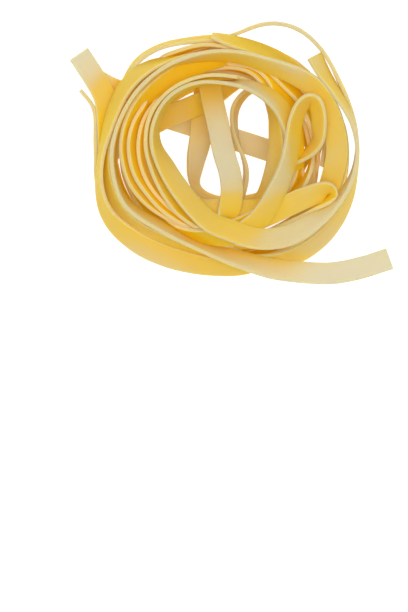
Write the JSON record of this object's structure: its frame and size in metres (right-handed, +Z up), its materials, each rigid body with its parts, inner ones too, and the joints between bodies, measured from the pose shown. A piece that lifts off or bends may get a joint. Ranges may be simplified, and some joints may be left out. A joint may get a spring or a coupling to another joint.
{
  "type": "dry pasta nest",
  "caption": "Nest of dry egg ribbon pasta wound into a ring round an open hollow, lying flat, with one long ribbon tail and small loose ends.",
  "frame": {"origin": "middle of the bounding box in plan, on the surface that the nest lies on", "axes": "+X towards the tip of the long tail, +Y away from the long tail, +Z up out of the face that shows its hollow and front hoops"},
  "size_m": [0.0908, 0.0736, 0.0325],
  "materials": {
    "pasta": "dry egg pasta: golden yellow, slightly translucent, satin to matt, with paler cut edges"
  },
  "bodies": {
    "root": {"pasta_nest": "pasta"}
  },
  "joints": []
}
